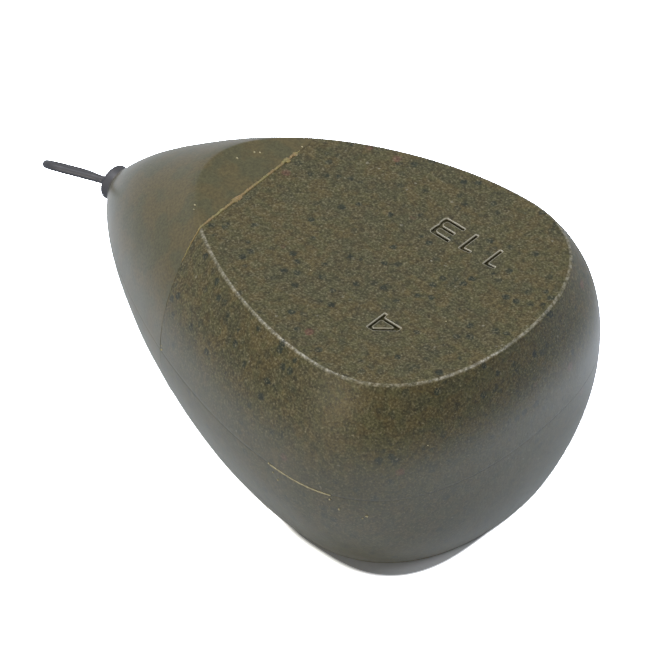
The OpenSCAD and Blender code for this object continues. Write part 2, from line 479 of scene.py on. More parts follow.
def coat_shell(side):
    """The shell on one side of the dip plane: -1 for the tail and 1 for the nose."""
    bm = bmesh.new()
    for form in (skin, lining):
        mesh = bpy.data.meshes.new("part")
        form.to_mesh(mesh)
        bm.from_mesh(mesh)
        bpy.data.meshes.remove(mesh)
    bmesh.ops.remove_doubles(bm, verts=bm.verts[:], dist=weld_gap)
    hole_edge = [v for v in bm.verts if v.co.x > tail_x + nose_in - cut_gap
                 and math.hypot(v.co.y, v.co.z - axis_z) < hole_r + cut_gap]
    bmesh.ops.remove_doubles(bm, verts=hole_edge, dist=hole_weld)
    put_in_order(bm)
    ring = cut_through(bm, dip_point, dip_normal * side, clear_inner=True)
    bmesh.ops.triangle_fill(bm, edges=ring, use_beauty=True, normal=dip_normal * -side)
    put_in_order(bm)
    bmesh.ops.recalc_face_normals(bm, faces=bm.faces[:])
    open_edges = sum(1 for e in bm.edges if len(e.link_faces) != 2)
    print("Shell faces:", len(bm.faces), "edges without two faces:", open_edges)
    return bm


tail_shell, nose_shell = coat_shell(-1), coat_shell(1)

# %% [markdown]
# A finished piece is a mesh that is smooth except where its faces meet at a sharp turn.
# On the upper flat even a slight turn counts, so that its wide faces are shaded level.
# The piece rides on a body.

# %% Finish the coats
sharp_turn = math.radians(50)
flat_turn = math.radians(3)


def finished(name, bm, body):
    """A piece of the object from a bmesh, which is used up."""
    mesh = bpy.data.meshes.new(name)
    for f in bm.faces:
        f.smooth = True
    for e in bm.edges:
        level = all(abs(v.co.z - body_t) < cut_gap for v in e.verts)
        e.smooth = e.calc_face_angle(0) < (flat_turn if level else sharp_turn)
    bm.to_mesh(mesh)
    bm.free()
    piece = bpy.data.objects.new(name, mesh)
    bpy.context.scene.collection.objects.link(piece)
    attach(piece, body)
    return piece


grainy_coat = finished("grainy_coat", tail_shell, "weight")
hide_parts("camo_coat")
smooth_coat = finished("smooth_coat", nose_shell, "weight")
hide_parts("nose_coat")
print("Coats:", grainy_coat.name, smooth_coat.name)

# %% [markdown]
# Resin gathered where the two coats meet. Its path is found on the coats themselves, point by
# point round the axis: a ray from the axis in each direction meets the wall or the flat.
# A strand along such a path is a curve with a round section, turned into a mesh.

# %% Follow the dip line
first_r = 14 * mm
ray_rounds = 6


def dip_x(y):
    """Where the dip plane is along the body at a distance y to the side."""
    return dip_point.x - dip_lean * y


def dip_point_at(degrees):
    """The coat's outer surface on the dip plane, in a direction round the axis, from +Y."""
    a = math.radians(degrees)
    y, z = math.cos(a), math.sin(a)
    r = first_r
    for _ in range(ray_rounds):
        r = float(np.interp(dip_x(r * y), form_outline[:, 0], form_outline[:, 1]))
    r = min(r, flat_z / max(abs(z), tiny))
    return dip_x(r * y), r * y, axis_z + r * z


def seated_path(angles):
    """Points of the dip line at angles round the axis, seated on the rounded rim."""
    return [Vector(p) for p in seat_on_rim(np.array([dip_point_at(a) for a in angles]))]


def strand(points, radii, sides):
    """A round strand through points, with a radius at each, as a bmesh."""
    curve = bpy.data.curves.new("strand", "CURVE")
    curve.dimensions = "3D"
    curve.bevel_depth = 1
    curve.bevel_resolution = sides
    curve.use_fill_caps = True
    spline = curve.splines.new("POLY")
    spline.points.add(len(points) - 1)
    for point, p, radius in zip(spline.points, points, radii):
        point.co, point.radius = (*p, 1), radius
    thing = bpy.data.objects.new("strand", curve)
    bpy.context.scene.collection.objects.link(thing)
    bpy.context.view_layer.update()
    bm = bmesh.new()
    bm.from_mesh(bpy.data.meshes.new_from_object(thing))
    bpy.data.objects.remove(thing)
    bmesh.ops.recalc_face_normals(bm, faces=bm.faces[:])
    return bm


print("Dip line at the top:", [round(c / mm, 2) for c in dip_point_at(90)])

# %% [markdown]
# On the upper flat the resin is a bead with lumps, which thins as it runs over the rim. It
# wanders and swells by two noises, one slow and one fine, that follow the angle round the axis.
# A lump is placed by that angle too, and has a radius in millimetres.
# Round the rest of the body the second coat ends in a faint raised edge.

# %% Lay the bead and the edge
draw = random.Random(7)
amber_from, amber_to = 117, 38
face_ends, face_fade = 50, 8
bead_r, bead_swell = 0.055 * mm, 0.075 * mm
slow_turn, fine_turn = 0.35, 1.6
slow_shift, fine_shift = 0.09 * mm, 0.03 * mm
lumps = [(109, 0.24), (114, 0.2), (74.5, 0.26), (72.5, 0.22), (98, 0.1), (60, 0.08)]
lump_shape = (1.2, 1.5, 0.5)
lump_grain = 0.16 * mm
lump_jitter = 0.004 * mm
edge_r = 0.022 * mm

amber_angles = np.linspace(amber_from, amber_to, 260)
amber_points = seated_path(amber_angles)
amber_radii = []
for a, p in zip(amber_angles, amber_points):
    slow = noise.noise(Vector((a * slow_turn, 3, 0)))
    fine = noise.noise(Vector((a * fine_turn, 8, 0)))
    p.x += slow * slow_shift + fine * fine_shift
    on_face = min(1, max(0, (a - face_ends) / face_fade))
    radius = (bead_r + bead_swell * on_face) * (1 + 0.35 * (slow + fine))
    ends = min(1, (amber_from - a) / 4 + 0.25, (a - amber_to) / 6 + 0.3)
    amber_radii.append(radius * ends)
bead_bm = strand(amber_points, amber_radii, 4)
for degrees, width in lumps:
    at = seated_path([degrees])[0]
    lump = bmesh.ops.create_icosphere(bead_bm, subdivisions=3, radius=width * mm)["verts"]
    for v in lump:
        ragged = 1 + 0.5 * noise.noise(v.co / lump_grain + Vector((degrees, 0, 0)))
        v.co = v.co * Vector(lump_shape) * ragged + at
        v.co.x += draw.uniform(-1, 1) * lump_jitter
bead = finished("dip_bead", bead_bm, "weight")

edge_angles = np.linspace(amber_to + 2, amber_from - 362, 700)
edge_points = seated_path(edge_angles)
edge_radii = [edge_r * (1 + 0.6 * noise.noise(Vector((a * 0.2, 5, 0)))) for a in edge_angles]
dip_edge = finished("dip_edge", strand(edge_points, edge_radii, 2), "weight")
print("Faces of bead and edge:", len(bead.data.polygons), len(dip_edge.data.polygons))

# %% [markdown]
# The parting line shows as a hairline, and near the tail a flash of coat stands on it.
# Grains of grit stuck in the wet coat: those that the photograph shows get their own places.
# Each is placed in millimetres from the tail's tip and the axis, and ends with its radius.

# %% Add the flash and the grit
flash_from, flash_to = 15.0 * mm, 8.4 * mm
flash_r = 0.07 * mm
flash_under = 0.08 * mm
flash_sunk = 0.03 * mm
flash_ripple = 0.4 * mm
grain_rough = 0.1 * mm
grain_shape = (1, 0.6, 0.6)


def wall_point(x, z):
    """A point of the near wall at x from the tail's tip and z from the axis."""
    r = float(np.interp(tail_x + x, form_outline[:, 0], form_outline[:, 1]))
    return Vector((tail_x + x, math.sqrt(r * r - z * z), axis_z + z))


flash_x = np.linspace(flash_from, flash_to, 60)
flash_points = [wall_point(x, -flash_under) - Vector((0, flash_sunk, 0)) for x in flash_x]
flash_radii = [flash_r * (1 + 0.5 * noise.noise(Vector((x / flash_ripple, 0, 2)))) for x in flash_x]
flash = finished("seam_flash", strand(flash_points, flash_radii, 3), "weight")

wall_grit = [(5.55, -1.98, 0.16), (5.86, -2.34, 0.1), (7.68, -1.56, 0.13), (8.46, -0.58, 0.12),
             (15.15, 0.0, 0.12), (14.04, -1.34, 0.12), (14.61, -0.78, 0.1), (32.2, 0.2, 0.13),
             (32.25, 0.61, 0.1), (2.58, 5.41, 0.1), (24.46, 8.1, 0.09), (27.72, 7.27, 0.09)]
face_grit = [(36.6, -0.93, 0.13), (36.0, -2.63, 0.12), (35.6, -2.93, 0.1), (35.07, 6.41, 0.12),
             (34.77, 6.91, 0.08), (33.27, -6.13, 0.1), (21.46, 5.87, 0.09), (8.07, 2.72, 0.08)]
grit_bm = bmesh.new()
spots = [(wall_point(x * mm, z * mm), radius) for x, z, radius in wall_grit]
spots += [(Vector((tail_x + x * mm, y * mm, body_t)), radius) for x, y, radius in face_grit]
for number, (at, radius) in enumerate(spots):
    crumb = bmesh.ops.create_icosphere(grit_bm, subdivisions=2, radius=radius * mm)["verts"]
    for v in crumb:
        ragged = 1 + 0.6 * noise.noise(v.co / grain_rough + Vector((number * 3.7, 0, 0)))
        v.co = v.co * ragged * Vector(grain_shape) + at
grit = finished("grit", grit_bm, "weight")
print("Grains:", len(spots))

# %% [markdown]
# The swivel's barrel is a short tube whose ends are swaged in to lips that hold the heads.
# Only its mouth shows, so a spin of one closed outline with round corners is all it needs.

# %% Turn the barrel
barrel_wall = 0.54 * mm
barrel_steps = 96
lip_t = 0.4 * mm
mouth_r = 0.7 * mm
end_r = 0.45 * mm
nook_r = 0.25 * mm
lip_round = 0.12 * mm
mouth_t = lip_t + 0.25 * mm
barrel_start, barrel_end = barrel_low.x, barrel_high.x + mouth_t - lip_t
bore_r = barrel_r - barrel_wall


def arc(x, r, radius, start, stop, steps=6):
    """Points of a round corner whose middle is at x and r, from one angle to another."""
    turns = [math.radians(start + (stop - start) * i / steps) for i in range(steps + 1)]
    return [Vector((x + radius * math.cos(a), 0, axis_z + r + radius * math.sin(a))) for a in turns]


barrel_outline = (
    arc(barrel_end - end_r, barrel_r - end_r, end_r, 90, 0, 10)
    + arc(barrel_end - lip_round, mouth_r + lip_round, lip_round, 0, -90)
    + arc(barrel_end - mouth_t + lip_round, mouth_r + lip_round, lip_round, -90, -180)
    + arc(barrel_end - mouth_t - nook_r, bore_r - nook_r, nook_r, 0, 90)
    + arc(barrel_start + lip_t + nook_r, bore_r - nook_r, nook_r, 90, 180)
    + arc(barrel_start + lip_t - lip_round, mouth_r + lip_round, lip_round, 0, -90)
    + arc(barrel_start + lip_round, mouth_r + lip_round, lip_round, -90, -180)
    + arc(barrel_start + end_r, barrel_r - end_r, end_r, 180, 90, 10))
barrel_bm = turned(barrel_outline, barrel_steps, closed=True)
bmesh.ops.recalc_face_normals(barrel_bm, faces=barrel_bm.faces[:])
barrel = finished("barrel", barrel_bm, "weight")
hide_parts("swivel_barrel")
print("Barrel faces:", len(barrel.data.polygons))

# %% [markdown]
# The eye is one wire: a ball head inside the barrel, a shank, and a long loop for the line.
# Two curves with a round section follow it, and a fine remesh then welds them at the fork.
# It is drawn flat along its own shank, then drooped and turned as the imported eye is.

# %% Draw the eye's wire
shank_r = 0.4 * mm
wire_r = 0.4 * mm
loop_r = 2.19 * mm
fork_at = 3.3 * mm
loop_at = 7.65 * mm
leg_in = 0.5 * mm
leg_gap = 0.08 * mm
leg_out = 0.8 * mm
leg_spread = 0.1
leg_handle, fork_handle, shank_handle = 0.25 * mm, 0.3 * mm, 1 * mm
loop_handle = loop_r * 0.62
end_handle = loop_handle * 1.15
shank_in = 0.15 * mm


def wire_curve(knots, radius, name):
    """A wire through knots of (point, direction, reach), as a curve with a round section."""
    curve = bpy.data.curves.new(name, "CURVE")
    curve.dimensions = "3D"
    curve.bevel_depth = radius
    curve.bevel_resolution = 6
    curve.resolution_u = 16
    curve.use_fill_caps = True
    spline = curve.splines.new("BEZIER")
    spline.bezier_points.add(len(knots) - 1)
    for knot, (point, direction, reach) in zip(spline.bezier_points, knots):
        point, direction = Vector(point), Vector(direction).normalized() * reach
        knot.co, knot.handle_left, knot.handle_right = point, point - direction, point + direction
    wire = bpy.data.objects.new(name, curve)
    bpy.context.scene.collection.objects.link(wire)
    bpy.context.view_layer.update()
    return wire


def mirrored(v):
    """A point or a direction on the other side of the eye's middle line."""
    return Vector((v[0], -v[1], v[2]))


fork_angle = math.asin(loop_r / (loop_at - fork_at))
leg_dir = Vector((math.cos(fork_angle), math.sin(fork_angle), 0))
leg_side = Vector((-math.sin(fork_angle), math.cos(fork_angle), 0))
leg_at = Vector((fork_at, 0, 0)) + leg_dir * leg_out
side_at = Vector((loop_at, 0, 0)) + leg_side * loop_r
loop_knots = [
    ((fork_at - leg_in, leg_gap, 0), (1, leg_spread, 0), leg_handle),
    (leg_at, leg_dir, fork_handle),
    (side_at, leg_dir, loop_handle),
    ((loop_at + loop_r, 0, 0), (0, -1, 0), end_handle),
    (mirrored(side_at), -mirrored(leg_dir), loop_handle),
    (mirrored(leg_at), -mirrored(leg_dir), fork_handle),
    ((fork_at - leg_in, -leg_gap, 0), (-1, leg_spread, 0), leg_handle)]
shank_knots = [(at, (1, 0, 0), shank_handle) for at in ((0, 0, 0), (fork_at + shank_in, 0, 0))]
wires = [wire_curve(loop_knots, wire_r, "loop"), wire_curve(shank_knots, shank_r, "shank")]
print("Fork opens by", round(2 * math.degrees(fork_angle), 1), "degrees")

# %% [markdown]
# A voxel remesh makes one skin of the wires and the head, and smoothing rounds off the voxels.
# Both modifiers are applied before the eye is put in its place, so that they work in its own frame.

# %% Weld the eye and put it in its place
head_r = 0.9 * mm
weld_size = 0.055 * mm
eye_turn = math.radians(38)
joint = frame["joints"][0]
head_at = Vector(joint["pos_m"])
shank_dir = Vector(joint["axis"])
droop = math.atan2(-shank_dir.z, shank_dir.x)
eye_place = (Matrix.Translation(head_at) @ Matrix.Rotation(droop, 4, "Y")
             @ Matrix.Rotation(eye_turn, 4, "X"))

eye_bm = bmesh.new()
for wire in wires:
    eye_bm.from_mesh(bpy.data.meshes.new_from_object(wire))
    bpy.data.objects.remove(wire)
bmesh.ops.create_uvsphere(eye_bm, u_segments=48, v_segments=32, radius=head_r)
eye = finished("line_eye_wire", eye_bm, "free_eye")
weld = eye.modifiers.new("weld", "REMESH")
weld.mode = "VOXEL"
weld.voxel_size = weld_size
soften = eye.modifiers.new("soften", "SMOOTH")
soften.factor = 0.5
soften.iterations = 4
bpy.context.view_layer.update()
welded = eye.evaluated_get(bpy.context.evaluated_depsgraph_get())
eye.data = bpy.data.meshes.new_from_object(welded)
eye.modifiers.clear()
eye.data.transform(eye_place)
eye.data.shade_smooth()
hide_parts("line_eye")
print("Eye faces:", len(eye.data.polygons), "droop:", round(math.degrees(droop), 2))

# %% [markdown]
# Every finish is worked out from the place on the surface, in millimetres, by noise and cells.
# These helpers put nodes in a tree: one does sums, one turns a range of values into another,
# one mixes two colours, and one makes soft patches of noise.

# %% Helpers for node trees
darkest = 0.15


def node(tree, kind, sockets=None, **settings):
    """A new node, with its settings, and its sockets given as values or as links."""
    made = tree.nodes.new("ShaderNode" + kind)
    for name, value in settings.items():
        setattr(made, name, value)
    for name, value in (sockets or {}).items():
        if isinstance(value, bpy.types.NodeSocket):
            tree.links.new(value, made.inputs[name])
        else:
            made.inputs[name].default_value = value
    return made


def math_node(tree, operation, a, b=0.0):
    """A sum of two values or links."""
    return node(tree, "Math", {0: a, 1: b}, operation=operation).outputs[0]


def times(tree, a, b):
    """The product of two values or links."""
    return math_node(tree, "MULTIPLY", a, b)


def mapped(tree, value, low, high, to_low, to_high, smooth=False):
    """A value stretched from one range to another, and held at its ends."""
    kind = "SMOOTHSTEP" if smooth else "LINEAR"
    return node(tree, "MapRange", {"Value": value, "From Min": low, "From Max": high,
                                   "To Min": to_low, "To Max": to_high},
                interpolation_type=kind).outputs[0]


def mixed(tree, factor, a, b, blend="MIX"):
    """Mixes two colours. 0, 6 and 7 are the colour sockets of the Mix node."""
    return node(tree, "Mix", {0: factor, 6: a, 7: b}, data_type="RGBA", blend_type=blend).outputs[2]


def shaded(tree, colour, value):
    """A colour made lighter or darker by a number."""
    value = math_node(tree, "MAXIMUM", value, darkest)
    both = node(tree, "CombineColor", {0: value, 1: value, 2: value}).outputs[0]
    return mixed(tree, 1.0, colour, both, "MULTIPLY")


def patches(tree, place, scale, detail, low, high, least=0.0, most=1.0, smooth=False, roughness=0.5):
    """Soft patches, scale of them to a millimetre: least where the noise is under low, and most
    where it is over high."""
    cloudy = node(tree, "TexNoise", {"Vector": place, "Scale": scale, "Detail": detail,
                                     "Roughness": roughness}).outputs["Fac"]
    return mapped(tree, cloudy, low, high, least, most, smooth)


def bump(tree, height, distance):
    """A normal from a height between 0 and 1 that stands for a distance."""
    return node(tree, "Bump", {"Height": height, "Distance": distance}).outputs[0]

# %% [markdown]
# Two effects are shared by the finishes: a fine grain, and specks that sit in random cells.
# Each is a node group, built once, so a material only says how large and how strong it is.
# A speck's edge is bent by noise, and of all the cells only a share holds one.

# %% Build the shared effects
bend_scale = 3.0
bend_reach = 0.35


def group(name, inputs, outputs):
    """An empty node group, with its input node's outputs and its output node's inputs."""
    tree = bpy.data.node_groups.new(name, "ShaderNodeTree")
    for label, kind, value in inputs:
        made = tree.interface.new_socket(label, in_out="INPUT", socket_type="NodeSocket" + kind)
        if value is not None:
            made.default_value = value
    for label, kind in outputs:
        tree.interface.new_socket(label, in_out="OUTPUT", socket_type="NodeSocket" + kind)
    given = tree.nodes.new("NodeGroupInput").outputs
    results = tree.nodes.new("NodeGroupOutput").inputs
    return tree, given, results


grain, given, results = group("grain", [("Place", "Vector", None), ("Size", "Float", 0.2),
                                        ("Strength", "Float", 1.0)],
                              [("Shade", "Float"), ("Height", "Float")])
per_mm = math_node(grain, "DIVIDE", 1.0, given["Size"])
fine = node(grain, "TexNoise", {"Vector": given["Place"], "Scale": per_mm, "Detail": 2.0,
                                "Roughness": 0.6}).outputs["Fac"]
around = math_node(grain, "SUBTRACT", fine, 0.5)
shade = math_node(grain, "MULTIPLY", around, given["Strength"])
grain.links.new(math_node(grain, "ADD", shade, 1.0), results["Shade"])
grain.links.new(fine, results["Height"])

specks, given, results = group("specks", [("Place", "Vector", None), ("Cell", "Float", 1.0),
                                          ("Share", "Float", 0.2), ("Radius", "Float", 0.3)],
                               [("Mask", "Float")])
per_mm = math_node(specks, "DIVIDE", 1.0, given["Cell"])
ragged = node(specks, "TexNoise", {"Vector": given["Place"], "Scale": bend_scale, "Detail": 3.0})
bent = node(specks, "VectorMath", {0: ragged.outputs["Color"], 1: (0.5, 0.5, 0.5)},
            operation="SUBTRACT").outputs[0]
bent = node(specks, "VectorMath", {0: bent, "Scale": bend_reach}, operation="SCALE").outputs[0]
bent = node(specks, "VectorMath", {0: given["Place"], 1: bent}, operation="ADD").outputs[0]
cells = node(specks, "TexVoronoi", {"Vector": bent, "Scale": per_mm})
lot = node(specks, "SeparateColor", {0: cells.outputs["Color"]}).outputs[0]
chosen = math_node(specks, "LESS_THAN", lot, given["Share"])
near = math_node(specks, "DIVIDE", cells.outputs["Distance"], given["Radius"])
inside = mapped(specks, near, 0.6, 1.15, 1.0, 0.0, smooth=True)
specks.links.new(math_node(specks, "MULTIPLY", inside, chosen), results["Mask"])
print("Shared effects:", grain.name, specks.name)

# %% [markdown]
# A material starts from the place in millimetres and ends in one shader, which gets what changes
# over the surface through its sockets. A shared effect is placed in it with its own values.

# %% Helpers for the materials
to_mm = 1 / mm


def material(name, roughness, metallic=0.0, specular=0.5):
    """A material with its tree, its shader and the place on the surface in millimetres."""
    made = bpy.data.materials.new(name)
    made.use_nodes = True
    tree = made.node_tree
    shader = tree.nodes["Principled BSDF"]
    shader.inputs["Roughness"].default_value = roughness
    shader.inputs["Metallic"].default_value = metallic
    shader.inputs["Specular IOR Level"].default_value = specular
    at = node(tree, "TexCoord").outputs["Object"]
    place = node(tree, "VectorMath", {0: at, "Scale": to_mm}, operation="SCALE").outputs[0]
    return made, tree, shader, place


def effect(tree, kind, place, **sockets):
    """A shared effect at a place, with its own values."""
    made = node(tree, "Group", {"Place": place}, node_tree=kind)
    for name, value in sockets.items():
        made.inputs[name].default_value = value
    return made.outputs


def speckled(tree, place, colour, speck_colour, strength, **cells):
    """A colour with specks of another colour on it, of which cells gives the size and share."""
    mask = effect(tree, specks, place, **cells)["Mask"]
    return mixed(tree, times(tree, mask, strength), colour, speck_colour)


def feed(tree, shader, **links):
    """Links what changes over the surface to the shader. A socket's words are joined by _."""
    for name, value in links.items():
        tree.links.new(value, shader.inputs[name.replace("_", " ")])


def dress(piece, made):
    """Gives a piece its only material."""
    piece.data.materials.clear()
    piece.data.materials.append(made)

# %% [markdown]
# Both coats are glossy on the walls and dull on the flats, which were rubbed on the bench.
# A shine mask says where: it grows from the rim down the wall, and stops at the lower flat.
# A second mask picks the rim by its height, and the figures' lips by the layer that they carry:
# there the coat is worn thin and pale, in grains, and that pale tint is also a painted highlight.

# %% Helpers for the coats
half_t_mm = flat_z * to_mm
shine_from, shine_to = half_t_mm - 3.0, 1.5
dull_from, dull_to = half_t_mm - 0.7, half_t_mm - 0.1
rim_from, rim_to = half_t_mm - 0.23, half_t_mm - 0.1
level_from, level_to = half_t_mm - 0.015, half_t_mm - 0.004
wear_and_highlight_patch = 0.3
wear_and_highlight_grain = 0.25


def above_axis(tree, place):
    """The height above the body's axis, in millimetres."""
    height = node(tree, "SeparateXYZ", {0: place}).outputs["Z"]
    return math_node(tree, "SUBTRACT", height, axis_z * to_mm)


def shine(tree, height, least, most):
    """How thick the glossy film is: least under the upper rim, most at the parting line."""
    film = mapped(tree, height, shine_from, shine_to, least, most, smooth=True)
    side = math_node(tree, "ABSOLUTE", height)
    return times(tree, film, mapped(tree, side, dull_from, dull_to, 1.0, 0.0, smooth=True))


def worn_and_lit(tree, place, height, sunk):
    """How worn the coat is, and where a pale highlight is painted: along stretches of the rims and
    on the lips of the figures.
    """
    side = math_node(tree, "ABSOLUTE", height)
    rim = times(tree, mapped(tree, side, rim_from, rim_to, 0.0, 1.0, smooth=True),
                mapped(tree, side, level_from, level_to, 1.0, 0.0))
    rim = times(tree, rim, patches(tree, place, 1 / wear_and_highlight_patch, 4.0, 0.44, 0.56, 0.25, 0.6,
                                   roughness=0.7))
    rim = times(tree, rim, patches(tree, place, 1 / wear_and_highlight_grain, 2.0, 0.42, 0.58, 0.3, 1.3))
    rim = times(tree, rim, mapped(tree, sunk, 0.0, 0.05, 1.0, 0.0))
    lip = times(tree, mapped(tree, sunk, 0.02, 0.12, 0.0, 0.8),
                mapped(tree, sunk, 0.5, 0.62, 1.0, 0.0))
    return math_node(tree, "MAXIMUM", rim, lip)


print("Rim worn from", round(rim_from, 2), "mm above the axis")

# %% [markdown]
# The camouflage coat is brown and olive, in soft patches with dark green blotches over them.
# Dark, ruddy, sandy and pale specks lie on top. Colours are linear, so they look dark as numbers.

# %% Mix the colours of the camouflage coat
brown = (0.109, 0.089, 0.038, 1)
olive = (0.094, 0.088, 0.039, 1)
dull_olive = (0.064, 0.066, 0.038, 1)
dark_green = (0.029, 0.036, 0.022, 1)
soot = (0.024, 0.023, 0.012, 1)
brick = (0.22, 0.10, 0.08, 1)
sand = (0.25, 0.21, 0.13, 1)
chalk = (0.4, 0.38, 0.3, 1)

camo, tree, shader, place = material("camo_coat", 0.4, specular=0.22)
colour = mixed(tree, patches(tree, place, 0.8, 1.5, 0.4, 0.6, smooth=True), brown, olive)
colour = speckled(tree, place, colour, dull_olive, 0.35, Cell=2.4, Share=0.4, Radius=1.0)
fade = patches(tree, place, 0.5, 2.0, 0.42, 0.58, 0.5, 1.0, smooth=True)
colour = speckled(tree, place, colour, dark_green, fade, Cell=1.0, Share=0.26, Radius=0.42)
colour = speckled(tree, place, colour, soot, 0.7, Cell=0.5, Share=0.12, Radius=0.16)
colour = speckled(tree, place, colour, brick, 0.5, Cell=3.1, Share=0.14, Radius=0.16)
colour = speckled(tree, place, colour, sand, 0.5, Cell=0.5, Share=0.16, Radius=0.14)
colour = speckled(tree, place, colour, chalk, 0.6, Cell=1.3, Share=0.2, Radius=0.11)
print("Nodes for the colours:", len(tree.nodes))

# %% [markdown]
# A coarse grain clouds the colours. The fine grain darkens them a little and adds pale sparks.
# The parting line is a darker hairline that comes and goes, and where the glossy film is thick
# it veils everything in grey, which is also a painted sheen. The film is the shader's own coat, so
# it mirrors the room.

# %% Add the grain, the parting line and the film
spark = (0.32, 0.29, 0.19, 1)
seam_dark = (0.02, 0.02, 0.014, 1)
grey_veil_and_sheen = (0.084, 0.083, 0.048, 1)

colour = shaded(tree, colour, effect(tree, grain, place, Size=0.6, Strength=1.7)["Shade"])
grainy = effect(tree, grain, place, Size=0.21, Strength=5.2)
lighter = math_node(tree, "MAXIMUM", math_node(tree, "SUBTRACT", grainy["Shade"], 1.0), 0.0)
lighter = times(tree, math_node(tree, "POWER", lighter, 1.5), 0.5)
colour = shaded(tree, colour, mapped(tree, grainy["Shade"], 0.0, 1.0, 0.5, 1.0))
colour = mixed(tree, lighter, colour, spark)
height = above_axis(tree, place)
off_seam = math_node(tree, "ABSOLUTE", height)
comes = patches(tree, place, 0.12, 2.0, 0.42, 0.56, 0.3, 1.0)
seam_mask = times(tree, mapped(tree, off_seam, 0.04, 0.1, 0.75, 0.0, smooth=True), comes)
colour = mixed(tree, seam_mask, colour, seam_dark)
film = shine(tree, height, 0.0, 0.9)
# The grey veil on the walls is partly a grey film and partly a painted sheen.
colour = mixed(tree, times(tree, film, 0.45), colour, grey_veil_and_sheen)
print("Nodes with grain and film:", len(tree.nodes))

# %% [markdown]
# Painted shade darkens the foot of the figures' walls, and the worn rim and lips are polished, with
# a painted highlight.
# The grain also makes the surface duller and brighter in turn, and lifts it by a hair.

# %% Age the camouflage coat and paint its shade and highlights
recess_shade_brown = (0.02, 0.018, 0.01, 1)
pale_wear_and_highlight = (0.45, 0.42, 0.31, 1)
film_roughness = 0.3

sunk = node(tree, "Attribute", attribute_name="sunk").outputs["Fac"]
# Painted shade: the figures' walls are darkened towards their floors.
recess_shade = times(tree, mapped(tree, sunk, 0.6, 0.72, 0.0, 0.6), mapped(tree, sunk, 0.84, 0.97, 1.0, 0.0))
colour = mixed(tree, recess_shade, colour, recess_shade_brown)
wear_and_highlight = worn_and_lit(tree, place, height, sunk)
# The pale tint on the worn rim and lips is partly wear and partly a painted highlight.
colour = mixed(tree, times(tree, wear_and_highlight, 0.6), colour, pale_wear_and_highlight)
polish = math_node(tree, "MAXIMUM", film, times(tree, wear_and_highlight, 1.8))
shader.inputs["Coat Roughness"].default_value = film_roughness
feed(tree, shader, Base_Color=colour, Coat_Weight=polish,
     Roughness=mapped(tree, grainy["Height"], 0.3, 0.7, 0.32, 0.48),
     Normal=bump(tree, grainy["Height"], 0.03 * mm))
dress(grainy_coat, camo)
print("Nodes of the camouflage coat:", len(tree.nodes))

# %% [markdown]
# The nose was dipped again, so its coat is smoother and glossier, and its grain is faint.
# It runs out on the barrel in a film so thin that the dark steel shows through it.

# %% Paint the nose coat
nose_brown = (0.116, 0.096, 0.041, 1)
nose_olive = (0.094, 0.089, 0.042, 1)
nose_dark = (0.03, 0.035, 0.025, 1)
steel_through = (0.02, 0.02, 0.022, 1)
collar_at = (tail_x + body_len) * to_mm

nose, tree, shader, place = material("nose_coat", 0.38, specular=0.3)
shader.inputs["Coat Roughness"].default_value = film_roughness
colour = mixed(tree, patches(tree, place, 0.4, 4.0, 0.42, 0.58, smooth=True), nose_brown, nose_olive)
colour = speckled(tree, place, colour, nose_dark, 0.4, Cell=0.8, Share=0.14, Radius=0.16)
grainy = effect(tree, grain, place, Size=0.24, Strength=1.3)
colour = shaded(tree, colour, grainy["Shade"])
along_body = node(tree, "SeparateXYZ", {0: place}).outputs["X"]
thin = mapped(tree, along_body, collar_at - 0.35, collar_at + 0.3, 0.0, 0.85, smooth=True)
colour = mixed(tree, thin, colour, steel_through)
feed(tree, shader, Base_Color=colour, Normal=bump(tree, grainy["Height"], 0.01 * mm),
     Coat_Weight=shine(tree, above_axis(tree, place), 0.15, 0.85))
for piece in (smooth_coat, dip_edge):
    dress(piece, nose)
print("Nodes of the nose coat:", len(tree.nodes))

# %% [markdown]
# The bead is resin over sand: amber, with greener and redder stretches, and glossy.
# Grit and flash are the same stuff without the stain, so they are paler.
# The swivel is blackened steel, so it is a dark metal with a slightly cloudy shine.
# The casting under the coats is rough grey metal, and shows only where the coats are taken off.
# All four are one or two colours under a grain, so one function makes them.

# %% Paint the resin, the swivel and the casting
green_amber, red_amber = (0.27, 0.235, 0.08, 1), (0.30, 0.20, 0.075, 1)
pale_resin = (0.48, 0.44, 0.28, 1)
black_steel = (0.08, 0.08, 0.087, 1)
cast_grey = (0.2, 0.2, 0.21, 1)


def grained(made, colour, size, strength, depth):
    """Feeds a material one colour under a grain, and gives the grain's height."""
    _, tree, shader, place = made
    grainy = effect(tree, grain, place, Size=size, Strength=strength)
    feed(tree, shader, Base_Color=shaded(tree, colour, grainy["Shade"]),
         Normal=bump(tree, grainy["Height"], depth))
    return grainy["Height"]


amber = material("amber_resin", 0.3)
stretches = patches(amber[1], amber[3], 0.8, 2.0, 0.4, 0.6)
grained(amber, mixed(amber[1], stretches, green_amber, red_amber), 0.2, 1.4, 0.02 * mm)
dress(bead, amber[0])

resin = material("pale_resin", 0.45, specular=0.4)
grained(resin, pale_resin, 0.3, 1.6, 0.01 * mm)
for piece in (flash, grit):
    dress(piece, resin[0])

steel = material("gunmetal", 0.5, metallic=1.0)
cloudy = grained(steel, black_steel, 0.35, 0.5, 0.01 * mm)
feed(steel[1], steel[2], Roughness=mapped(steel[1], cloudy, 0.3, 0.7, 0.45, 0.65))
for piece in (barrel, eye, frame["nodes"]["anchor_eye"]):
    dress(piece, steel[0])

casting = material("casting", 0.6, metallic=1.0)
grained(casting, cast_grey, 0.5, 0.9, 0.05 * mm)
dress(frame["nodes"]["core"], casting[0])
print("Materials:", [made.name for made in bpy.data.materials])

# %% [markdown]
# The room is a plain white surround. It is white to the camera, to gloss and through glass, and
# dimmer as a light, so that the lamps give the body its shape.

# %% Make the white surround
world_light = 0.15
scene = bpy.context.scene
scene.view_settings.view_transform = "Standard"


